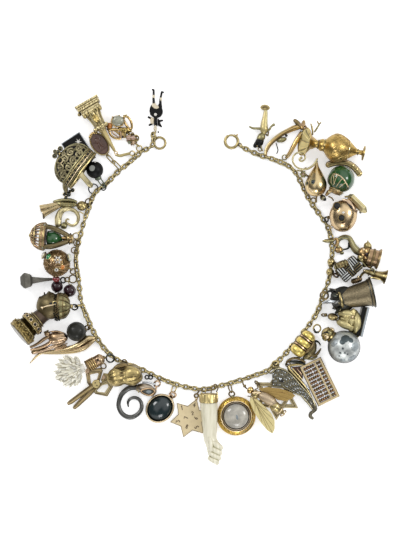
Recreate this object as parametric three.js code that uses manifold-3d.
// A charm necklace, laid open on a flat surface with both ends of its chain in view.
// Millimetres. +Z is up from the surface, +Y runs from the hanging charms towards the clasp.
// Every charm is modelled about its own middle or its own axis, then laid in its place.
import * as THREE from "three";
import { mergeVertices } from "three/addons/utils/BufferGeometryUtils.js";
import Module from "manifold-3d";

const wasm = await Module();
wasm.setup();

// Driving dimensions.
const clearance = 0.35;
const chain = { radius: 1.3, height: 1.3, lift: 3.1, sides: 6, steps: 62, beadRadius: 2.4 };
const jumpRing = { radius: 1.25, wire: 0.45, sides: 4, turns: 6 };
const endRing = { x: -25.6, y: 79.7, turn: 0, radius: 3.75, wire: 0.56 };
const springRing = { x: 18.9, y: 80.6, turn: 0, radius: 3.98, tube: 0.85, bore: 0.62, bolt: 0.36 };
const boltArc = { gapFrom: 66, gapTo: 122, knob: 50, travel: 40, eye: -22 };
const starPoints = 6;

// Where each charm lies: x and y of its origin, the turn of its own +Y axis from the necklace's,
// in degrees, and z, the height of its middle (of its underside on a flat charm).
const charms = {
  harlequin: { x: -27.9, y: 98.9, turn: 0, z: 0, thickness: 1.6 },
  gemRing: { x: -49.9, y: 89.3, turn: 0, z: 1.1, radius: 5.2, band: 1.0 },
  clusterBead: { x: -42.5, y: 81.8, turn: 0, z: 3.6, radius: 3.5 },
  columnSeal: { x: -53.3, y: 74.4, turn: 30, z: 5.1 },
  intaglio: { x: -62.9, y: 79, turn: 35, z: 0, width: 10.6, height: 16, thickness: 2.7, rim: 1.1 },
  plaque: { x: -75.8, y: 74.8, turn: 33, z: 0, width: 12.6, height: 17.7, thickness: 2.4 },
  crown: { x: -74.7, y: 63.5, turn: 54, z: 9.9, width: 26.2, depth: 14, band: 5.6, wall: 1.3 },
  blackBall: { x: -65.6, y: 62.8, turn: -158, z: 4.9, radius: 4.9 },
  doubleHorn: { x: -77.5, y: 42.5, turn: 0, z: 2.7 },
  curledTusk: { x: -82.5, y: 32.9, turn: 0, z: 2.3 },
  lantern: { x: -80, y: 20.1, turn: 85, z: 8.6, dome: 8.5, wall: 0.9 },
  greenDrop: { x: -86.2, y: 20.1, turn: 90, z: 8.6, radius: 3.4, length: 8.4 },
  jewelledBall: { x: -88.7, y: 5.3, turn: 0, z: 8.4, radius: 8.4 },
  ironNail: { x: -87.1, y: -4.5, turn: 93, z: 1.9, headZ: 5 },
  garnetA: { x: -89, y: -9.3, turn: 0, z: 3.7, radius: 3.7 },
  garnetB: { x: -81.2, y: -11.8, turn: 0, z: 4, radius: 4 },
  bustSeal: { x: -92.4, y: -21.4, turn: 0, z: 8.4, disc: 9, head: 8.3 },
  darkBall: { x: -76.9, y: -36.9, turn: 0, z: 6, radius: 6 },
  roseBud: { x: -88.7, y: -41.2, turn: 0, z: 4.1 },
  goldHorn: { x: -83.7, y: -48.7, turn: 0, z: 2.6 },
  crystal: { x: -80, y: -61.1, turn: 0, z: 7.6, radius: 7.6, spikes: 14 },
  crystalCap: { x: -70.3, y: -58.4, turn: -62, z: 6, radius: 3.4, length: 11.5 },
  scissors: { x: -64.8, y: -69.4, turn: 0, z: 0.3, blade: 1, between: 1.3, pin: 0.9, boss: 2.4 },
  peanut: { x: -57.7, y: -67, turn: -80, z: 6.2, length: 20.8 },
  steelSpiral: { x: -44, y: -82.2, turn: 0, z: 2.4, collar: 4.1 },
  ovalPendant: { x: -25.4, y: -84.6, turn: -43, z: 0, width: 17, height: 18.6, thickness: 4.4,
    rim: 1.4 },
  starPlate: { x: -6.8, y: -90.8, turn: 0, z: 0, radius: 12.6, thickness: 1.2, firstPoint: 71 },
  pearlHand: { x: 4.7, y: -79.9, turn: -178, z: 6, flatten: 0.8 },
  handCap: { x: 4.7, y: -75.1, turn: -180, z: 6, radius: 5.3 },
  locket: { x: 21.7, y: -89.3, turn: 0, z: 0, radius: 12 },
  bee: { x: 29.8, y: -71.9, turn: -130, z: 5.6, wing: 0.8 },
  openStar: { x: 47.1, y: -76.6, turn: 0, z: 0, radius: 15.5, bar: 2.3, thickness: 1.3,
    firstPoint: 28.5 },
  dagger: { x: 55.2, y: -70.4, turn: 0, z: 2.1, thickness: 2.8 },
  goldPod: { x: 60.8, y: -67.9, turn: 0, z: 1.3, radius: 1.1 },
  abacus: { x: 73.4, y: -68.2, turn: 26, z: 0, width: 13.7, height: 25.4, bar: 1.4, rods: 9 },
  barrel: { x: 64, y: -45.6, turn: -51, z: 4.5, radius: 4.5, length: 14.8, ribs: 4 },
  goldFish: { x: 68.8, y: -49.6, turn: 0, z: 1.6 },
  moonBall: { x: 87.7, y: -46.2, turn: 51, z: 9.9, radius: 9.8 },
  slab: { x: 99.2, y: -32.3, turn: -9, z: 0, width: 3.7, height: 15.9, depth: 12 },
  owl: { x: 78.1, y: -27.3, turn: -101, z: 7 },
  bell: { x: 84.3, y: -17.5, turn: -77, z: 9.6, mouth: 9.5, wall: 0.9 },
  basket: { x: 93.3, y: 2.6, turn: 41, z: 0, width: 11.2, height: 11.8, depth: 9 },
  swanJug: { x: 88.7, y: 17.1, turn: 0, z: 2, ring: 3.4, band: 0.95 },
  thimble: { x: 102.5, y: 9.6, turn: -106, z: 6.6, rim: 6.5, wall: 0.8 },
  bugle: { x: 101.4, y: 0.3, turn: -106, z: 4.5, mouth: 4.5 },
  skull: { x: 87.4, y: 34.4, turn: 0, z: 8.4, width: 16.8, height: 19.6 },
  cigar: { x: 92, y: 46.7, turn: -134, z: 7.4, radius: 2.2 },
  balloon: { x: 87.4, y: 56.7, turn: 156, z: 8.4, radius: 8.3 },
  pear: { x: 71.3, y: 68.8, turn: 178, z: 6.9, radius: 6.7 },
  ewer: { x: 71.3, y: 78.4, turn: -101, z: 8.9, belly: 8.7, length: 30.3 },
  curvedTube: { x: 88.7, y: 66.3, turn: 0, z: 4.4, radius: 1.9 },
  tongs: { x: 51.5, y: 81.5, turn: 0, z: 1.9 },
  dancer: { x: 39.4, y: 103.1, turn: 175, z: 3, flatten: 0.85 },
};

// How each kind of surface looks: colour, roughness, metalness.
const finishes = {
  antiqueGold: [0x9c8850, 0.45, 1],
  yellowGold: [0xc9a548, 0.35, 1],
  roseGold: [0xb98a5e, 0.4, 1],
  paleGold: [0xd8c498, 0.4, 1],
  bronze: [0x6e5a38, 0.5, 1],
  gunmetal: [0x44443f, 0.4, 1],
  silver: [0x9ea4a8, 0.3, 1],
  blackEnamel: [0x18181a, 0.25, 0],
  greenGlass: [0x1f6b40, 0.15, 0],
  garnet: [0x33141f, 0.2, 0],
  brownStone: [0x4a3830, 0.35, 0],
  darkStone: [0x141f26, 0.12, 0],
  crystalGlass: [0xd6d2c6, 0.25, 0],
  motherOfPearl: [0xdedcc6, 0.3, 0],
};

const degrees = (angle) => (angle * Math.PI) / 180;
const point = (x, y, z = 0) => new THREE.Vector3(x, y, z);

// Solids: a three.js geometry becomes a manifold solid, and back.
function toSolid(geometry) {
  const bare = geometry.clone();
  bare.deleteAttribute("normal");
  bare.deleteAttribute("uv");
  const merged = mergeVertices(bare, 1e-4);
  const index = merged.index.array;
  const kept = [];
  for (let i = 0; i < index.length; i += 3) {
    const [a, b, c] = [index[i], index[i + 1], index[i + 2]];
    if (a !== b && b !== c && c !== a) kept.push(a, b, c);
  }
  const mesh = (corners) =>
    new wasm.Mesh({
      numProp: 3,
      vertProperties: merged.attributes.position.array,
      triVerts: new Uint32Array(corners),
    });
  const made = new wasm.Manifold(mesh(kept));
  return made.volume() < 0 ? new wasm.Manifold(mesh(kept.reverse())) : made;
}

function toGeometry(solid) {
  const mesh = solid.getMesh();
  const positions = new Float32Array(mesh.numVert * 3);
  for (let i = 0; i < mesh.numVert; i++) {
    positions.set(mesh.vertProperties.subarray(i * mesh.numProp, i * mesh.numProp + 3), i * 3);
  }
  return new THREE.BufferGeometry()
    .setAttribute("position", new THREE.BufferAttribute(positions, 3))
    .setIndex(new THREE.BufferAttribute(mesh.triVerts, 1));
}

const weld = (...parts) => toGeometry(parts.map(toSolid).reduce((a, b) => a.add(b)));
const cut = (whole, ...tools) =>
  toGeometry(tools.map(toSolid).reduce((a, b) => a.subtract(b), toSolid(whole)));

// Building blocks, each a closed geometry in its charm's own frame.
function ball(x, y, z, radiusX, radiusY = radiusX, radiusZ = radiusX, sides = 10) {
  return new THREE.SphereGeometry(1, sides, Math.round(sides * 0.6))
    .rotateX(Math.PI / 2)
    .scale(radiusX, radiusY, radiusZ)
    .translate(x, y, z);
}

// A turned piece about its own +Y: rows of [distance along the axis, radius].
function turned(rows, sides = 10, flatten = 1) {
  const profile = [[rows[0][0], 0], ...rows, [rows[rows.length - 1][0], 0]];
  const outline = profile.map(([along, radius]) => new THREE.Vector2(radius, along));
  return new THREE.LatheGeometry(outline, sides).scale(1, 1, flatten);
}

// The same, turned about the line between two points.
function turnedAlong(from, to, rows, sides = 10) {
  const direction = point(...to).sub(point(...from)).normalize();
  const turn = new THREE.Quaternion().setFromUnitVectors(point(0, 1, 0), direction);
  return turned(rows, sides).applyQuaternion(turn).translate(...from);
}

function rod(from, to, radius, sides = 5, endRadius = radius) {
  const length = point(...from).distanceTo(point(...to));
  return turnedAlong(from, to, [[0, radius], [length, endRadius]], sides);
}

const polygon = (radius, sides) =>
  Array.from({ length: sides }, (_, i) => {
    const angle = ((i + 0.5) / sides) * 2 * Math.PI;
    return new THREE.Vector2(Math.cos(angle) * radius, Math.sin(angle) * radius);
  });

// A wire along a smooth curve; thin(t) scales its thickness from end to end.
function wire(points, radius, steps = 12, sides = 5, thin = () => 1) {
  const path = new THREE.CatmullRomCurve3(points.map((p) => point(...p)));
  const made = new THREE.ExtrudeGeometry(new THREE.Shape(polygon(radius, sides)), {
    steps,
    extrudePath: path,
  });
  const stations = path.getSpacedPoints(steps);
  const place = made.attributes.position;
  const spot = new THREE.Vector3();
  for (let i = 0; i < place.count; i++) {
    spot.fromBufferAttribute(place, i);
    const away = stations.map((station) => station.distanceTo(spot));
    const nearest = away.indexOf(Math.min(...away));
    spot.sub(stations[nearest]).multiplyScalar(thin(nearest / steps)).add(stations[nearest]);
    place.setXYZ(i, spot.x, spot.y, spot.z);
  }
  return made;
}

const flatShape = (corners) => new THREE.Shape(corners.map(([x, y]) => new THREE.Vector2(x, y)));

function plate(shape, thickness, z = 0, smooth = 6) {
  const options = { depth: thickness, bevelEnabled: false, curveSegments: smooth };
  return new THREE.ExtrudeGeometry(shape, options).translate(0, 0, z);
}

// A straight bar with square edges between two points of one level.
function bar(from, to, width, thickness, z = 0) {
  const [dx, dy] = [to[0] - from[0], to[1] - from[1]];
  return new THREE.BoxGeometry(Math.hypot(dx, dy) + width, width, thickness)
    .rotateZ(Math.atan2(dy, dx))
    .translate((from[0] + to[0]) / 2, (from[1] + to[1]) / 2, z + thickness / 2);
}

function ellipse(radiusX, radiusY) {
  const shape = new THREE.Shape();
  shape.absellipse(0, 0, radiusX, radiusY, 0, 2 * Math.PI);
  return shape;
}

function ellipseRing(radiusX, radiusY, rim) {
  const shape = ellipse(radiusX, radiusY);
  shape.holes.push(ellipse(radiusX - rim, radiusY - rim));
  return shape;
}

// A six-point star's corners, from its outer radius.
function star(radius, firstPoint) {
  return Array.from({ length: 2 * starPoints }, (_, i) => {
    const reach = i % 2 ? radius / Math.sqrt(3) : radius;
    const angle = degrees(firstPoint) + (i * Math.PI) / starPoints;
    return [Math.cos(angle) * reach, Math.sin(angle) * reach];
  });
}

const ring = (x, y, z, radius, thickness, sides = 5, turns = 12) =>
  new THREE.TorusGeometry(radius, thickness, sides, turns).translate(x, y, z);

// The chain's route, from the end ring round to the spring ring.
const low = chain.height;
const route = [
  [-29.6, 84.3, chain.lift], [-29.5, 81.5, chain.lift], [-30.3, 77.7, chain.lift],
  [-34.1, 75.6, low + 0.4], [-37.8, 73.5, low], [-44, 67.9, low], [-51.5, 61.7, low],
  [-58.9, 54.2, low], [-65.7, 48.7, low], [-69.4, 40, low], [-71.9, 32.5, low],
  [-74.4, 23.9, low], [-76.9, 13.3, low], [-77.4, 4.7, low], [-75.6, -6.5, low],
  [-74.4, -17.7, low], [-70.7, -28.2, low], [-65.7, -38.8, low], [-60.1, -47.4, low],
  [-53.3, -53.6, low], [-44, -58, low], [-34.1, -61.7, low], [-25.4, -66, low],
  [-15.5, -69.8, low], [-5.6, -72.2, low], [3.1, -72.8, low], [13, -70.4, low],
  [22.3, -67.9, low], [31.6, -64.8, low], [41.5, -61.1, low], [50.2, -53, low],
  [58.9, -43.1, low], [66.3, -33.8, low], [71.9, -25.1, low], [75.6, -15.2, low],
  [79.4, -4, low], [80.6, 5.3, low], [81.2, 14.6, low], [79, 26.4, low],
  [73.2, 35.6, low], [66.3, 45.6, low], [61.4, 56.1, low], [55.8, 64.2, low],
  [45.9, 69.1, low], [36, 72.2, low], [27.6, 76, low], [25.3, 77.2, low],
];
const chainPath = new THREE.CatmullRomCurve3(route.map((p) => point(...p)));
const chainStations = chainPath.getSpacedPoints(600);

function frameOf(charm) {
  return new THREE.Matrix4()
    .makeRotationZ(degrees(charm.turn))
    .setPosition(charm.x, charm.y, charm.z);
}

// The soldered loop that a charm hangs by: a rod through the given points, in the charm's frame,
// then on to a jump ring that lies against the nearest stretch of chain.
function loop(charm, ...points) {
  const frame = frameOf(charm);
  const back = frame.clone().invert();
  const spots = points.map((p) => point(...p).applyMatrix4(frame));
  const start = spots[spots.length - 1];
  const flat = (a, b) => Math.hypot(a.x - b.x, a.y - b.y);
  const near = chainStations.reduce((a, b) => (flat(b, start) < flat(a, start) ? b : a));
  const away = point(start.x - near.x, start.y - near.y).normalize();
  const reach = jumpRing.radius + jumpRing.wire;
  const seat = chain.radius + clearance;
  const room = flat(near, start) > seat + 2 * reach;
  const middle = near.clone().addScaledVector(away, seat + (room ? reach : jumpRing.wire));
  const parts = [];
  if (room) {
    parts.push(
      new THREE.TorusGeometry(jumpRing.radius, jumpRing.wire, jumpRing.sides, jumpRing.turns)
        .translate(middle.x, middle.y, chain.height),
    );
  }
  const end = middle.clone().addScaledVector(away, room ? jumpRing.radius : 0);
  end.z = chain.height;
  const line = [...spots, end];
  for (let i = 1; i < line.length; i++) {
    parts.push(rod(line[i - 1].toArray(), line[i].toArray(), jumpRing.wire, 4));
  }
  return weld(...parts).applyMatrix4(back);
}

const necklace = new THREE.Group();

// Lays one piece on the surface: its name, finish, place and geometry.
function lay(name, finish, charm, geometry) {
  const [color, roughness, metalness] = finishes[finish];
  const material = new THREE.MeshStandardMaterial({ color, roughness, metalness });
  const mesh = new THREE.Mesh(toGeometry(toSolid(geometry)), material);
  mesh.name = name;
  mesh.position.set(charm.x, charm.y, charm.z);
  mesh.rotation.z = degrees(charm.turn);
  necklace.add(mesh);
}

const onSurface = { x: 0, y: 0, z: 0, turn: 0 };

// Chain and clasp.
function layChain() {
  const links = new THREE.ExtrudeGeometry(new THREE.Shape(polygon(chain.radius, chain.sides)), {
    steps: chain.steps,
    extrudePath: chainPath,
  });
  const beads = [[80.6, 5.9], [79.9, -0.3]].map(([x, y]) =>
    ball(x, y, chain.beadRadius, chain.beadRadius));
  lay("chain", "antiqueGold", onSurface, weld(links, ...beads));
  const end = ring(0, 0, 0, endRing.radius, endRing.wire, 5, 16);
  lay("end_ring", "antiqueGold", { ...endRing, z: endRing.wire }, end);
}

// An arc of round wire about the clasp's middle, solid or a pipe.
function claspArc(fromAngle, toAngle, radius, bore, steps) {
  const section = new THREE.Shape(polygon(radius, 6));
  if (bore) section.holes.push(new THREE.Path(polygon(bore, 6)));
  const stations = Array.from({ length: steps + 1 }, (_, i) => {
    const angle = degrees(fromAngle + ((toAngle - fromAngle) * i) / steps);
    return point(Math.cos(angle) * springRing.radius, Math.sin(angle) * springRing.radius);
  });
  const path = new THREE.CatmullRomCurve3(stations);
  return new THREE.ExtrudeGeometry(section, { steps, extrudePath: path });
}

function laySpringRing() {
  const middle = { ...springRing, z: springRing.tube, turn: 0 };
  const outer = springRing.radius + springRing.tube;
  const at = (angle, distance) =>
    [Math.cos(degrees(angle)) * distance, Math.sin(degrees(angle)) * distance];
  const pipe = claspArc(boltArc.gapTo, boltArc.gapFrom + 360, springRing.tube, springRing.bore, 15);
  const slotSteps = 4;
  const slots = Array.from({ length: slotSteps + 1 }, (_, i) => {
    const angle = boltArc.knob + 8 - ((boltArc.travel + 14) * i) / slotSteps;
    return new THREE.BoxGeometry(1.6, 1.7, 1.1)
      .translate(outer, 0, 0)
      .rotateZ(degrees(angle));
  });
  const [eyeX, eyeY] = at(boltArc.eye, outer + 0.75);
  const eye = ring(eyeX, eyeY, 0, 0.85, 0.4, 4, 6);
  lay("spring_ring_case", "antiqueGold", middle, weld(cut(pipe, ...slots), eye));
  const bolt = claspArc(boltArc.knob - 6, boltArc.gapTo - 3, springRing.bolt, 0, 6);
  const [knobX, knobY] = at(boltArc.knob, outer + 0.78);
  const knob = weld(
    rod([...at(boltArc.knob, springRing.radius), 0], [knobX, knobY, 0], 0.3, 6),
    ball(knobX, knobY, 0, 0.62, 0.62, 0.62, 6),
  );
  lay("spring_ring_bolt", "paleGold", middle, weld(bolt, knob));
}

// Upper left: the enamelled harlequin hangs head down from the first link.
function layHarlequin() {
  const charm = charms.harlequin;
  const middle = charm.thickness / 2;
  const body = flatShape([
    [-0.4, 5.6], [-2.5, 4.6], [-3.7, 2.5], [-3.9, 0.3], [-2.5, -2.5], [-1, -4.4],
    [-1, -8.7], [-1.6, -10.6], [-0.9, -12.4], [1.2, -12.4], [2, -10.6], [1.1, -8.7],
    [1.1, -4.4], [2.6, -2.8], [4.3, 0.3], [4, 2.8], [2.5, 4.9], [0.9, 3.7],
  ]);
  const limb = (radius, ...points) => wire(points.map(([x, y]) => [x, y, middle]), radius, 3, 4);
  lay("harlequin_figure", "blackEnamel", charm, weld(
    plate(body, charm.thickness),
    limb(0.8, [-1.5, 4.3], [-1.6, 9.3], [-1.6, 13], [-2.7, 13.8]),
    limb(0.8, [3.1, 4.3], [3.5, 8.7], [3.7, 11.9], [5, 12.6]),
    limb(0.6, [-0.6, -4.4], [-2.5, -4], [-4, -3.5]),
    limb(0.6, [-0.6, -5.6], [-2.5, -6.8], [-4.1, -7.7]),
    limb(0.6, [0.9, -4.4], [2.5, -4.7], [4, -5.2]),
    limb(0.6, [0.9, -6.2], [2.2, -7.5], [3.2, -8.7]),
    limb(0.45, [-0.4, -11.8], [-1.1, -12.8], [-1.7, -14.4]),
  ));
}

function layGemRing() {
  const charm = charms.gemRing;
  lay("gem_ring", "roseGold", charm, weld(
    ring(0, 0, 0, charm.radius, charm.band, 5, 12),
    ball(-1.6, 3.7, 2.6, 4.2, 3.4, 3, 8),
    ball(-6.2, 0.6, 1.6, 1.3, 1.9, 1.6, 6),
    ball(1.2, -2.8, 1.4, 2.4, 2.4, 1.8, 6),
    rod([1.5, -4, 0.8], [3.6, -6.2, 1.2], 0.9),
  ));
}

function layClusterBead() {
  const charm = charms.clusterBead;
  lay("cluster_bead", "roseGold", charm, weld(
    ball(0, 0, 0, charm.radius),
    loop(charm, [1, -1.5, 0]),
  ));
}

function layColumnSeal() {
  const charm = charms.columnSeal;
  const stem = turned([
    [-0.6, 0.6], [0, 0.9], [8, 1.2], [14.4, 1.7], [15.6, 3.2],
    [16.6, 3.7], [30.4, 3.7], [31, 4.2], [32, 4.2],
  ]);
  const foot = weld(
    new THREE.BoxGeometry(13, 2.4, 8.6).translate(0, 32.6, 0),
    new THREE.BoxGeometry(15, 2.8, 9.8).translate(0, 34.9, 0),
  );
  const link = wire(
    [[0, 0, 0], [-0.8, -2.1, -1.6], [0.4, -4.2, -3], [3.6, -4.9, -3.7], [7.7, -6, -3.8]],
    0.5, 9, 5,
  );
  const seat = loop(charm, [7.4, -5.9, -3.8]);
  lay("column_seal", "yellowGold", charm, weld(stem, foot, link, seat));
}

function layIntaglio() {
  const charm = charms.intaglio;
  const [halfWidth, halfHeight] = [charm.width / 2, charm.height / 2];
  lay("intaglio_frame", "antiqueGold", charm, weld(
    plate(ellipseRing(halfWidth, halfHeight, charm.rim), charm.thickness),
    loop(charm, [0, -halfHeight + 0.5, charm.thickness / 2]),
  ));
  const inset = charm.rim + 0.3;
  lay("intaglio_stone", "brownStone", charm,
    plate(ellipse(halfWidth - inset, halfHeight - inset), charm.thickness - 0.3, 0.5));
}

function layPlaque() {
  const charm = charms.plaque;
  const block = new THREE.BoxGeometry(charm.width, charm.height, charm.thickness)
    .translate(0, 0, charm.thickness / 2);
  lay("star_plaque", "blackEnamel", charm, block);
}

// An openwork crown on its side: an oval band, three pairs of arches and the cross on top.
function layCrown() {
  const charm = charms.crown;
  const [halfWidth, halfDepth] = [charm.width / 2, charm.depth / 2];
  const band = plate(ellipseRing(halfWidth, halfDepth, charm.wall), charm.band)
    .rotateX(-Math.PI / 2)
    .translate(0, -charm.band / 2, 0);
  // Rows of [share of the half width, height above the band's middle].
  const archRows = [[0.94, 1.5], [1.0, 7], [0.78, 11.2], [0.42, 14], [0, 13.6]];
  const arches = [0, 60, 120].map((angle) => {
    const across = Math.cos(degrees(angle)) * halfWidth;
    const deep = Math.sin(degrees(angle)) * (halfDepth - 0.4);
    const side = (sign) =>
      archRows.map(([share, up]) => [sign * share * across, up, sign * share * deep]);
    return wire([...side(1), ...side(-1).reverse().slice(1)], 0.95, 10, 4);
  });
  const cross = weld(
    ball(0, 14.9, 0, 1.7, 1.6, 1.7, 6),
    ball(0, 17.2, 0, 1.3, 1.4, 1.3, 6),
    ball(0, 16.4, 0, 2.9, 0.9, 1.1, 6),
  );
  const bail = loop(charm, [-0.8, -2.5, -6.2], [-4.8, -11.2, -8.4]);
  const hangings = weld(
    rod([-12.6, 0, 0], [-16.3, -1.2, -6], 0.9),
    ball(-16.5, -1.5, -6.6, 1.6, 1.6, 1.6, 6),
    ball(-15.1, -3, -6.6, 1.5, 1.5, 1.5, 6),
    ball(-18.3, -2.6, -6.6, 1.5, 1.5, 1.5, 6),
  );
  lay("crown", "antiqueGold", charm, weld(band, ...arches, cross, bail, hangings));
}

function layBlackBall() {
  const charm = charms.blackBall;
  lay("black_ball", "blackEnamel", charm, weld(
    ball(0, 0, 0, charm.radius),
    turned([[4.5, 1.9], [6, 1.7], [7, 0.8]], 8),
    loop(charm, [0, 6.6, 0]),
  ));
}

// Left side, down to the bottom.
function layDoubleHorn() {
  const charm = charms.doubleHorn;
  lay("double_horn_tassel", "yellowGold", charm, weld(
    rod([-14.3, 0.7, -1.2], [2.5, -1.3, 0], 0.9),
    rod([-6.2, -1.1, -0.3], [-21.4, -3.5, -0.6], 1.0, 6, 2.0),
    rod([-6.2, -1.4, -0.3], [-20.2, -7.2, -0.6], 1.0, 6, 2.1),
    ball(-4.3, -1.1, 0, 5, 1.4, 1.5, 6),
    ball(3.1, -1.9, 0, 2.7, 2.6, 2.6, 8),
    loop(charm, [3.7, -1.6, 0]),
  ));
}

function layCurledTusk() {
  const charm = charms.curledTusk;
  const curl = [
    [-6.2, -4.4, -0.2], [-6.2, 0, 0], [-4, 3.4, 0], [-0.6, 4.9, 0], [3.1, 4.4, 0],
    [5.8, 2.4, -0.2],
    [6.2, -0.7, -0.5], [4.7, -3.4, -0.8], [1.9, -4.4, -1], [-0.6, -2.8, -1.2], [-0.8, -1.2, -1.4],
    [0.7, -0.2, -1.5],
  ];
  lay("curled_tusk", "antiqueGold", charm, weld(
    wire(curl, 2.1, 16, 5, (t) => 1 - 0.8 * t),
    loop(charm, [5.9, 1.9, -0.4]),
  ));
}

// A hollow filigree dome with four ribs that meet at the collar, and a green drop held inside.
function layLantern() {
  const charm = charms.lantern;
  const { dome, wall } = charm;
  const base = 16.5;
  const arc = (radius, from, to, count) =>
    Array.from({ length: count + 1 }, (_, i) => {
      const angle = degrees(from + ((to - from) * i) / count);
      return [base + Math.sin(angle) * radius, Math.cos(angle) * radius];
    });
  const outline = [...arc(dome, 90, 0, 4), ...arc(dome - wall, 0, 90, 4)];
  const section = outline.map(([along, radius]) => new THREE.Vector2(Math.max(radius, 0), along));
  const shell = new THREE.LatheGeometry(section, 12);
  const ribs = [45, 135, 225, 315].map((angle) => {
    const [across, deep] = [Math.cos(degrees(angle)), Math.sin(degrees(angle))];
    const spot = (along, radius) => [across * radius, along, deep * radius];
    return wire([spot(16.8, dome - 0.5), spot(12, 7.6), spot(6, 5.2), spot(1.6, 1.6)], 0.8, 4, 4);
  });
  lay("cage_lantern", "yellowGold", charm, weld(
    shell,
    ...ribs,
    turned([[-1.6, 1.2], [-0.8, 2.8], [1.8, 2.8], [2.6, 1.4]], 10),
    loop(charm, [0, -1, 0]),
  ));
  const drop = charms.greenDrop;
  lay("green_drop", "greenGlass", drop,
    turned([[-2.9, 0.35], [0, 0.4], [0.6, 1.6], [3, drop.radius], [5.4, 3.1], [drop.length, 0.9]]));
}

function layJewelledBall() {
  const charm = charms.jewelledBall;
  lay("jewelled_ball", "roseGold", charm, weld(
    ball(0, 0, 0, charm.radius, charm.radius, charm.radius, 12),
    ball(-7.8, 4.3, 0.5, 2.2, 2.2, 2.2, 6),
    loop(charm, [8.1, 0.6, -1]),
  ));
}

function layIronNail() {
  const charm = charms.ironNail;
  // Rows of [distance from the point, half the width across the flats].
  const rows = [[0, 0.45], [4, 0.6], [17.5, 1.5], [18.2, 2.6], [20, 4], [22.6, 4.7], [24.4, 3.2]];
  const shank = turned(rows.map(([along, half]) => [along, half * Math.SQRT2]), 4)
    .rotateY(Math.PI / 4)
    .rotateX(Math.atan2(charm.headZ - charm.z, 24.4));
  lay("iron_nail", "gunmetal", charm, weld(shank, loop(charm, [0, 0.4, 0])));
}

function layGarnets() {
  const [first, second] = [charms.garnetA, charms.garnetB];
  lay("garnet_bead_a", "garnet", first, ball(0, 0, 0, first.radius));
  lay("garnet_bead_b", "garnet", second, weld(
    ball(0, 0, 0, second.radius),
    loop(second, [second.radius - 0.6, 1.6, -0.5]),
  ));
}

// A seal with a bust for its handle: disc, drum, collar and neck lean up out of the surface.
function layBustSeal() {
  const charm = charms.bustSeal;
  const foot = [-18.6, -16.7, 2.6];
  const neck = [-4.9, -5, -1];
  const seal = turnedAlong(foot, neck, [
    [-0.6, charm.disc - 1], [0, charm.disc], [1.6, charm.disc], [2.6, 7.6], [6.4, 6.4],
    [8.4, 7.2], [10.2, 7.3], [12, 6], [15.5, 5], [20, 4.4],
  ], 12);
  lay("bust_seal", "bronze", charm, weld(
    seal,
    ball(0, 0, 0, charm.head, charm.head - 0.2, charm.head, 10),
    ball(6.2, -0.3, 0, 6, 8, 7.6, 10),
    rod([11.2, -0.3, 0], [13.4, -0.3, -2], 1.2),
    loop(charm, [13, -0.3, -2]),
  ));
}

function layDarkBall() {
  const charm = charms.darkBall;
  lay("dark_ball", "gunmetal", charm, weld(
    ball(0, 0, 0, charm.radius, charm.radius, charm.radius, 12),
    loop(charm, [4.7, 0.9, -1.5]),
  ));
}

function layRoseBud() {
  const charm = charms.roseBud;
  const stem = [[-3.7, -0.6, -1], [-9.9, -4.1, -1.8], [-14.8, -6, -2.4], [-16.9, -5, -2.6]];
  lay("rose_bud", "roseGold", charm, weld(
    ball(0, 0, 0, 6.2, 4.3, 4, 10),
    ball(-6.2, 3.1, 0.4, 2.2, 2, 2, 6),
    wire(stem, 1.5, 6, 5, (t) => 1 - 0.5 * t),
    rod([1.9, -1.9, -1.4], [6.2, -4.4, -2.2], 1.1),
    rod([5, 0, -0.8], [7.8, -2, -1.6], 1.0),
  ));
}

function layGoldHorn() {
  const charm = charms.goldHorn;
  const spine = [
    [16, 6, 0], [11.8, 4.4, 0], [7.1, 1.6, 0], [0, -0.3, -0.6], [-9.3, -1.5, -1.2],
    [-16.1, -3.2, -1.8], [-22.4, -8.2, -2.2],
  ];
  lay("gold_horn", "yellowGold", charm, weld(
    wire(spine, 2.5, 12, 6, (t) => 1.02 - 0.88 * t),
    loop(charm, [15.9, 6.5, -0.4]),
  ));
}

// A rough crystal: an uneven lump with stubby points all over, spread by the golden angle.
function layCrystal() {
  const charm = charms.crystal;
  const goldenAngle = Math.PI * (3 - Math.sqrt(5));
  const spikes = Array.from({ length: charm.spikes }, (_, i) => {
    const up = 0.86 - (1.5 * (i + 0.5)) / charm.spikes;
    const round = Math.sqrt(1 - up * up);
    const out = [Math.cos(i * goldenAngle) * round, Math.sin(i * goldenAngle) * round, up];
    const reach = i % 3 ? 9.0 : 9.6;
    const tip = [out[0] * reach, out[1] * reach, out[2] * 7.8];
    return rod(out.map((v) => v * 5), tip, 2.2, 4, 0.9);
  });
  const fits = spikes.filter((_, i) => {
    const direction = (i * goldenAngle) % (2 * Math.PI);
    return direction < degrees(350) && direction > degrees(50);
  });
  const stub = rod([4, 1.1, -0.8], [8.8, 2.4, -1.6], 2.6, 8, 2.3);
  const lump = ball(0, 0, 0, 8.4, 8.4, charm.radius, 10);
  lay("crystal_cluster", "crystalGlass", charm, weld(lump, stub, ...fits));
  const cap = charms.crystalCap;
  const ridges = Array.from({ length: 4 }, (_, i) => [
    [i * 1.5, cap.radius - 0.3], [i * 1.5 + 0.4, cap.radius], [i * 1.5 + 1.1, cap.radius],
  ]).flat();
  lay("crystal_cap", "roseGold", cap, weld(
    turned([...ridges, [6.2, 2.9], [9, 2.9], [9.6, 3.3], [cap.length - 0.8, 3.1], [cap.length, 2]], 10),
    loop(cap, [0, cap.length - 0.4, -1]),
  ));
}

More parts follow.
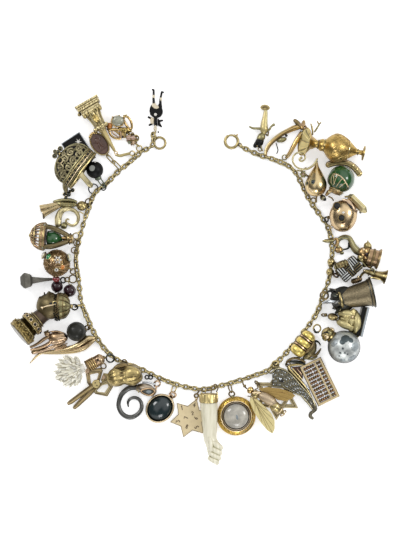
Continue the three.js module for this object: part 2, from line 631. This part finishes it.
// Scissors: two crossed blades on one pin, the upper one free to swing.
function layScissors() {
  const charm = charms.scissors;
  const { blade, between, boss } = charm;
  const disc = (radius, thickness, z) => plate(ellipse(radius, radius), thickness, z, 5);
  const frame = (corners, z) =>
    corners.map((corner, i) => bar(corner, corners[(i + 1) % corners.length], 1.2, blade, z));
  const lowerBlade = [
    [1.2, 0.9], [-0.6, 1.5], [-15.1, -14.9], [-14.2, -15.8], [-12.7, -14.6], [1.6, -1.3],
  ];
  const upperBlade = [
    [0.6, -1.6], [-1.2, -1], [-16.7, -12.9], [-17.5, -11.9], [-16.4, -10.6], [-0.9, 1.3],
  ];
  const lower = weld(
    plate(flatShape(lowerBlade), blade),
    disc(boss, blade, 0),
    ...frame([[-3.4, -0.3], [-5.1, 6.7], [2.6, 8.6], [0.4, 2.1]], 0),
    plate(ellipse(charm.pin, charm.pin), 3, 0.4, 4),
    loop(charm, [2.7, 8.7, blade / 2]),
  );
  lay("scissors_blade_a", "roseGold", charm, lower);
  const upper = weld(
    plate(flatShape(upperBlade), blade, between),
    disc(boss, blade, between),
    ...frame([[0.6, -2.5], [-0.1, -5.1], [6.4, -7.4], [9.4, -1.8], [3.2, -0.3]], between),
  );
  const hole = plate(ellipse(charm.pin + 0.35, charm.pin + 0.35), blade + 1, between - 0.5, 4);
  lay("scissors_blade_b", "roseGold", charm, cut(upper, hole));
}

function layPeanut() {
  const charm = charms.peanut;
  lay("gold_peanut", "antiqueGold", charm, weld(
    turned([
      [0, 1], [1.6, 3.2], [4.6, 5], [7.4, 4.6], [9.4, 3.8],
      [11.6, 4.4], [15, 5.6], [18.4, 4.8], [charm.length, 2.4],
    ], 10),
    loop(charm, [4.2, 10, -2]),
  ));
}

function laySteelSpiral() {
  const charm = charms.steelSpiral;
  const curl = [
    [6.2, 9, 0.6], [1.8, 10.8, 0], [-2.7, 9.4, 0], [-6.5, 4.8, -0.2], [-7.6, -0.6, -0.4],
    [-5.6, -5.8, -0.6], [-0.6, -8.5, -0.8], [4.6, -7.1, -1], [7.7, -2.8, -1.1], [6.9, 1.9, -1.3],
    [3.5, 3.9, -1.4], [0.4, 2.8, -1.5], [-0.9, -1.2, -1.6],
  ];
  const collar = turnedAlong([5.8, 7.2, 2.2], [16.7, 10.6, 1.4], [
    [0, 3], [1, charm.collar], [6.4, charm.collar], [9.4, 2.6], [11.6, 1.4],
  ]);
  lay("steel_spiral", "gunmetal", charm, weld(
    wire(curl, 1.9, 20, 5, (t) => 1 - 0.72 * t),
    collar,
    loop(charm, [16.5, 10.6, 1]),
  ));
}

function layOvalPendant() {
  const charm = charms.ovalPendant;
  const [halfWidth, halfHeight] = [charm.width / 2, charm.height / 2];
  lay("oval_bezel", "antiqueGold", charm, weld(
    plate(ellipseRing(halfWidth, halfHeight, charm.rim), charm.thickness, 0, 10),
    loop(charm, [0, 8.7, charm.thickness / 2], [-1.1, 13, 1.6]),
  ));
  const inset = charm.rim + 0.4;
  const stone = ball(0, 0, 0, halfWidth - inset, halfHeight - inset, 2.9, 14);
  lay("oval_stone", "darkStone", { ...charm, z: 3.4 }, stone);
}

function layStarPlate() {
  const charm = charms.starPlate;
  lay("star_plate", "paleGold", charm, weld(
    plate(flatShape(star(charm.radius, charm.firstPoint)), charm.thickness),
    loop(charm, [3.9, 10.9, charm.thickness / 2]),
  ));
}

function layPearlHand() {
  const charm = charms.pearlHand;
  lay("pearl_hand", "motherOfPearl", charm, weld(
    turned([
      [0, 5.2], [6, 5.3], [13, 4.6], [20, 4], [24, 3.8],
      [26.5, 4.3], [31, 5], [34.4, 4.6], [36.4, 2.6],
    ], 10, charm.flatten),
    ball(2.2, 29, 0, 3.4, 3.6, 3.6, 8),
  ));
  const cap = charms.handCap;
  lay("hand_cap", "yellowGold", cap, weld(
    turned([[0, 4.8], [0.5, cap.radius], [3.8, cap.radius], [4.2, 5.1]], 12),
    loop(cap, [-2.2, 0.2, -2.6]),
  ));
}

function layLocket() {
  const charm = charms.locket;
  const rows = [
    [0, 10.2], [1.6, charm.radius], [3, charm.radius], [4.6, 10.4], [4.3, 9.2],
    [4.2, 8.4], [5.8, 7.4], [7.2, 4.4], [7.7, 1.4],
  ];
  lay("locket", "yellowGold", charm, weld(
    turned(rows, 14).rotateX(Math.PI / 2),
    loop(charm, [-2.2, 11.1, 2.4]),
  ));
}

// A bee with one wing out over the locket and one over the dagger.
function layBee() {
  const charm = charms.bee;
  const wings = [
    [
      [2.1, 3.8], [-0.5, 6], [0.9, 12.9], [4.3, 20.5], [8.9, 26.5], [12, 28.3], [11.9, 24],
      [9.2, 15.6], [5.6, 7.4],
    ],
    [
      [-2.8, 4.9], [-7.3, 7.6], [-12.6, 14.5], [-15.2, 23.1], [-12.5, 23.5], [-6.9, 19.3],
      [-2.1, 13.6],
    ],
  ];
  lay("bee", "yellowGold", charm, weld(
    turned([[0, 1.6], [1.6, 2.2], [3.6, 1.8], [6, 3], [9, 3.7], [14, 3.8], [19, 3.1], [23, 1.4]], 10),
    ...wings.map((outline) => plate(flatShape(outline), charm.wing, -0.2)),
    loop(charm, [0, 0.4, -0.6]),
  ));
}

// Two crossed triangles of flat bar.
function layOpenStar() {
  const charm = charms.openStar;
  const triangle = (firstPoint, radius) =>
    [0, 120, 240].map((angle) => {
      const direction = degrees(firstPoint + angle);
      return [Math.cos(direction) * radius, Math.sin(direction) * radius];
    });
  const frames = [charm.firstPoint, charm.firstPoint + 60].map((firstPoint) => {
    const shape = flatShape(triangle(firstPoint, charm.radius));
    shape.holes.push(flatShape(triangle(firstPoint, charm.radius - 2 * charm.bar)));
    return plate(shape, charm.thickness);
  });
  const hanger = loop(charm, [0.4, 14.5, charm.thickness / 2]);
  lay("open_star", "yellowGold", charm, weld(...frames, hanger));
}

function layDagger() {
  const charm = charms.dagger;
  const outline = [
    [-11.2, 6.9], [-7.5, 10.9], [-3.1, 9.3], [1.2, 5.6], [5.6, 0.7], [9.9, -4.3], [14, -9.9],
    [15.5, -14.8], [15.2, -18.6], [13.2, -21], [11.5, -19.4], [13, -16.3], [10.8, -11.4],
    [5.6, -4.9], [0.6, -2.4], [-4.4, -1.8], [-9.3, -0.6],
  ];
  lay("jewelled_dagger", "gunmetal", charm, weld(
    plate(flatShape(outline), charm.thickness),
    loop(charm, [-3.4, 8.5, 0.8]),
  ));
}

function layGoldPod() {
  const charm = charms.goldPod;
  const spine = [[-5.6, 8.9, 0], [-1.3, 4.4, 0], [2.7, -1.6, 0], [6.5, -8, 0]];
  lay("gold_pod", "yellowGold", charm, weld(
    wire(spine, charm.radius, 6, 5, (t) => 1.1 - 0.6 * Math.abs(2 * t - 1)),
    loop(charm, [-5.4, 8.7, 0]),
  ));
}

function layAbacus() {
  const charm = charms.abacus;
  const thick = 2.2;
  const [right, top] = [(charm.width - charm.bar) / 2, (charm.height - charm.bar) / 2];
  const divider = charm.width * 0.18;
  const frame = [
    bar([-right, -top], [-right, top], charm.bar, thick),
    bar([right, -top], [right, top], charm.bar, thick),
    bar([-right, -top], [right, -top], charm.bar, thick),
    bar([-right, top], [right, top], charm.bar, thick),
    bar([divider, -top], [divider, top], 0.9, thick),
  ];
  const rods = Array.from({ length: charm.rods }, (_, i) => {
    const along = -top + ((i + 1) * 2 * top) / (charm.rods + 1);
    return bar([-right, along], [right, along], 1.2, 1.2, 0.5);
  });
  lay("abacus", "roseGold", charm, weld(
    ...frame,
    ...rods,
    loop(charm, [-3.9, 12.3, thick / 2], [-5.8, 15.6, thick / 2], [-8.7, 20, thick / 2]),
  ));
}

function layBarrel() {
  const charm = charms.barrel;
  const half = charm.length / 2;
  const rows = [[-half, 2.6]];
  for (let i = 0; i < charm.ribs; i++) {
    const from = -half + 0.6 + (i * (charm.length - 1.2)) / charm.ribs;
    const radius = charm.radius * (i === 0 || i === charm.ribs - 1 ? 0.84 : 1);
    rows.push([from, radius - 0.7], [from + 0.9, radius], [from + 2.5, radius]);
  }
  rows.push([half, 2.6]);
  lay("ribbed_barrel", "yellowGold", charm, weld(turned(rows, 10), loop(charm, [-2.4, 5, -2])));
}

function layGoldFish() {
  const charm = charms.goldFish;
  const spine = [[-5.3, -3.7, 0], [-1.8, -1.8, 0], [1.9, 0.7, 0], [3.5, 2.4, 0]];
  lay("gold_fish", "antiqueGold", charm, weld(
    wire(spine, 1.4, 5, 5, (t) => 0.6 + 0.8 * Math.sin(Math.PI * t)),
    rod([2.9, 1.8, 0], [5.2, 5.3, 0], 0.7),
    rod([2.9, 1.8, 0], [5.8, 1.8, 0], 0.7),
  ));
}

// Right side, from the bottom up.
function layMoonBall() {
  const charm = charms.moonBall;
  lay("moon_ball", "silver", charm, weld(
    ball(0, 0, 0, charm.radius, charm.radius, charm.radius, 12),
    turned([[9, 3], [10, 3.4], [12, 3.9], [14.4, 3.7], [16, 2.2]], 8),
    loop(charm, [0, 15.6, -2]),
  ));
}

function laySlab() {
  const charm = charms.slab;
  const block = new THREE.BoxGeometry(charm.width, charm.height, charm.depth)
    .translate(0, 0, charm.depth / 2);
  lay("enamel_slab", "blackEnamel", charm, block);
}

function layOwl() {
  const charm = charms.owl;
  lay("gold_owl", "yellowGold", charm, weld(
    turned([
      [0, 1], [1.2, 2.4], [3.1, 3], [5.2, 2.2], [6.6, 3.4],
      [9.6, 5.4], [12, 6.2], [16, 6.6], [19.2, 6.2],
    ]),
    loop(charm, [0, 0.8, 0], [0, -0.4, -3.6]),
  ));
}

// A hollow bell on its side, its mouth away from the chain.
function layBell() {
  const charm = charms.bell;
  const { mouth, wall } = charm;
  const outer = [
    [-5, 0], [-5, 2.4], [-3.8, 6.2], [-1, 7], [2.4, 7],
    [3.2, 5.9], [5, 6.9], [12, 7.2], [18, 8], [21.3, mouth],
  ];
  const inner = [[21.3, mouth - wall], [17.6, 7.1], [12, 6.3], [6.6, 5.9], [6, 0]];
  const outline = [...outer, ...inner].map(([along, radius]) => new THREE.Vector2(radius, along));
  lay("bell", "bronze", charm, weld(
    new THREE.LatheGeometry(outline, 12),
    loop(charm, [0, -4.4, -2]),
  ));
}

function layBasket() {
  const charm = charms.basket;
  lay("woven_basket", "silver", charm, weld(
    new THREE.BoxGeometry(charm.width, charm.height, charm.depth).translate(0, 0, charm.depth / 2),
    ball(-3.7, 6.2, 4.2, 1.6, 1.6, 1.6, 6),
    loop(charm, [-1, 3.6, 3.4], [-1.7, 10.3, 2.6]),
  ));
}

// A swan-necked loop with a cross bar laid over the chain.
function laySwanJug() {
  const charm = charms.swanJug;
  const over = 1.75;
  lay("swan_jug", "roseGold", charm, weld(
    ring(0, 0, 0, charm.ring, charm.band, 5, 12),
    wire([[2.8, 2.1, 0], [4.9, -0.1, 0], [7.4, -2.8, 0.6], [11.1, -3.5, 2]], 1.1, 5, 5),
    ball(11.5, -4.6, 3.4, 2.7, 3.6, 4, 8),
    ball(-2.9, -4, 0.2, 2.1, 2.4, 2.1, 6),
    rod([-13.3, 1.8, over], [-5, 1.6, over], 0.8),
    rod([-5, 1.6, over], [-2.9, 0.8, 0.2], 0.8),
  ));
}

function layThimble() {
  const charm = charms.thimble;
  const outer = [[0, 0], [0, 4.6], [0.5, 5], [6.2, 5.3], [6.8, charm.rim], [7.7, charm.rim]];
  const inner = [[7.7, 5.3 - charm.wall], [1.2, 5 - charm.wall - 0.2], [1, 0]];
  const outline = [...outer, ...inner].map(([along, radius]) => new THREE.Vector2(radius, along));
  lay("thimble", "roseGold", charm, new THREE.LatheGeometry(outline, 12));
}

function layBugle() {
  const charm = charms.bugle;
  lay("bugle", "yellowGold", charm, weld(
    turned([[0, 1.5], [3, 1.8], [8, 2.2], [10.6, 2.7], [12.4, 3.7], [13.2, charm.mouth]], 10),
    wire([[0.1, 1, 0], [1.8, -0.9, -1.6], [4.8, -1.8, -2.6]], 0.8, 3, 4),
    ball(5.3, -1.9, -2.8, 1.1, 1.1, 1.1, 6),
  ));
}

function laySkull() {
  const charm = charms.skull;
  const head = ball(0, 0, 0, charm.width / 2, charm.height / 2, charm.z, 10);
  lay("skull", "yellowGold", charm, weld(
    cut(head, ball(-1.8, -2.1, 8.3, 2, 2, 2, 6), ball(-4.1, 6.5, 5.6, 2, 2, 2, 6)),
    loop(charm, [-4.9, 2.5, -2]),
  ));
  const cigar = charms.cigar;
  lay("gold_cigar", "yellowGold", cigar, weld(
    turned([[0, 1.4], [1, cigar.radius], [11, cigar.radius], [13.6, 1]], 8),
    rod([0, 0.5, 0], [2.2, -1.2, 0.3], 0.7),
  ));
}

function layBalloon() {
  const charm = charms.balloon;
  lay("balloon", "greenGlass", charm, weld(
    ball(0, 0, 0, charm.radius, charm.radius, charm.radius, 12),
    turned([[4.6, 5.6], [7.2, 6], [9.6, 5.2], [10, 4.4]], 10),
    ball(5, 10.7, -3.6, 2, 2, 2, 6),
    rod([3.7, 8.4, -2.6], [5.2, 11.1, -3.6], 1.6),
    loop(charm, [5.4, 11.6, -3.8]),
  ));
}

function layPear() {
  const charm = charms.pear;
  lay("gold_pear", "yellowGold", charm, weld(
    turned([
      [0, 0.7], [3.4, 1], [6.4, 2.4], [10.4, 5],
      [14.2, charm.radius], [17, 6.6], [20.4, 4.8], [22.4, 2.4],
    ], 12),
    loop(charm, [4.7, 18.4, -3.4]),
  ));
}

// A ewer on its side: trumpet mouth, neck, round belly, stem and foot, with a wire handle.
function layEwer() {
  const charm = charms.ewer;
  const body = turned([
    [-9.4, 7.6], [-8.4, 8.6], [-7, 7.2], [-4.6, 4.2], [-2, 2.2], [0, 1.6], [2, 1.7],
    [3.2, 2.6], [4.4, 2], [6, 4.6], [8.6, charm.belly - 0.6], [10.6, charm.belly], [14, 7.6],
    [19, 5], [23.4, 2.2], [25.8, 1.4], [28, 1.7], [28.6, 4.4], [charm.length, 4.4],
  ]);
  const handle = wire([
    [10.9, -7.6, 0.5], [8.4, -6.3, 0.5], [7, -9.4, 0.5], [10, -12.6, 0.5], [14.1, -12.4, 0.5],
    [17.1, -8.7, 0.5], [17.2, -4.2, 0.8], [14.2, -0.4, 1], [9.2, 1.4, 0.6], [2.8, 1.4, 0.2],
    [1, 1.2, 0],
  ], 0.65, 16, 4);
  const thumbPiece = wire([[-3.3, -5.7, 0], [-7.8, -3.4, 0], [-11.5, -1.2, 0]], 0.6, 3, 4);
  const hanger = loop(charm, [13.7, -12.1, 0.4]);
  lay("ewer", "yellowGold", charm, weld(body, handle, thumbPiece, hanger));
}

function layCurvedTube() {
  const charm = charms.curvedTube;
  const spine = [[-10.6, -0.6, 0], [-5.6, 1, 0], [0.6, 1.8, 0], [5.5, 0, 0], [9.3, -4.3, 0]];
  lay("curved_tube", "antiqueGold", charm, wire(spine, charm.radius, 8, 6));
}

function layTongs() {
  const charm = charms.tongs;
  const arm = [
    [-11, -6.9, 0], [-10.2, -4.7, 0], [-7.5, -1.2, 0], [-3.1, 2.5, 0],
    [1.8, 5.6, 0], [6.8, 8.1, 0], [11.7, 10, 0],
  ];
  lay("tongs", "roseGold", charm, weld(
    wire(arm, 1.6, 9, 5),
    wire([[9.5, 8.7, 0], [10.1, 3.8, 0], [6.8, -3.1, 0], [3.4, -9.6, 0]], 1.3, 5, 5),
    ball(7.4, 10.3, 0, 1.8, 1.8, 1.8, 6),
    ball(11.7, 10.9, 0, 1.8, 1.8, 1.8, 6),
    ball(-1.9, 1.8, 0, 1.5, 1.5, 1.5, 6),
    loop(charm, [3.8, -8.8, -0.2]),
  ));
}

function layDancer() {
  const charm = charms.dancer;
  const figure = turned([
    [0, 2.6], [1.2, 3], [2.6, 1.6], [4, 1.2], [10, 1.5], [14.6, 2.6],
    [16.4, 2.2], [18.4, 2.6], [21.4, 2.8], [24, 2], [26, 1.2],
  ], 8, charm.flatten);
  lay("dancer_figure", "yellowGold", charm, weld(
    figure,
    wire([[-0.2, 12.9, 0], [4.2, 13.3, 0], [8, 15.1, 0.2]], 0.7, 3, 4),
    wire([[-1.6, 15.3, 0], [-4.3, 15, 0], [-6.4, 12.6, 0.2]], 0.7, 3, 4),
    loop(charm, [0.4, 25.4, -0.6]),
  ));
}

[
  layChain, laySpringRing, layHarlequin, layGemRing, layClusterBead, layColumnSeal, layIntaglio,
  layPlaque, layCrown, layBlackBall, layDoubleHorn, layCurledTusk, layLantern, layJewelledBall,
  layIronNail, layGarnets, layBustSeal, layDarkBall, layRoseBud, layGoldHorn, layCrystal,
  layScissors, layPeanut, laySteelSpiral, layOvalPendant, layStarPlate, layPearlHand, layLocket,
  layBee, layOpenStar, layDagger, layGoldPod, layAbacus, layBarrel, layGoldFish, layMoonBall,
  laySlab, layOwl, layBell, layBasket, laySwanJug, layThimble, layBugle, laySkull, layBalloon,
  layPear, layEwer, layCurvedTube, layTongs, layDancer,
].forEach((layOne) => layOne());

// The origin is on the surface, under the middle of the whole necklace.
necklace.updateMatrixWorld(true);
const extent = new THREE.Box3().setFromObject(necklace);
const middle = extent.getCenter(new THREE.Vector3());
necklace.position.set(-middle.x, -middle.y, -extent.min.z);

const part = new THREE.Group();
part.add(necklace);

export default part;
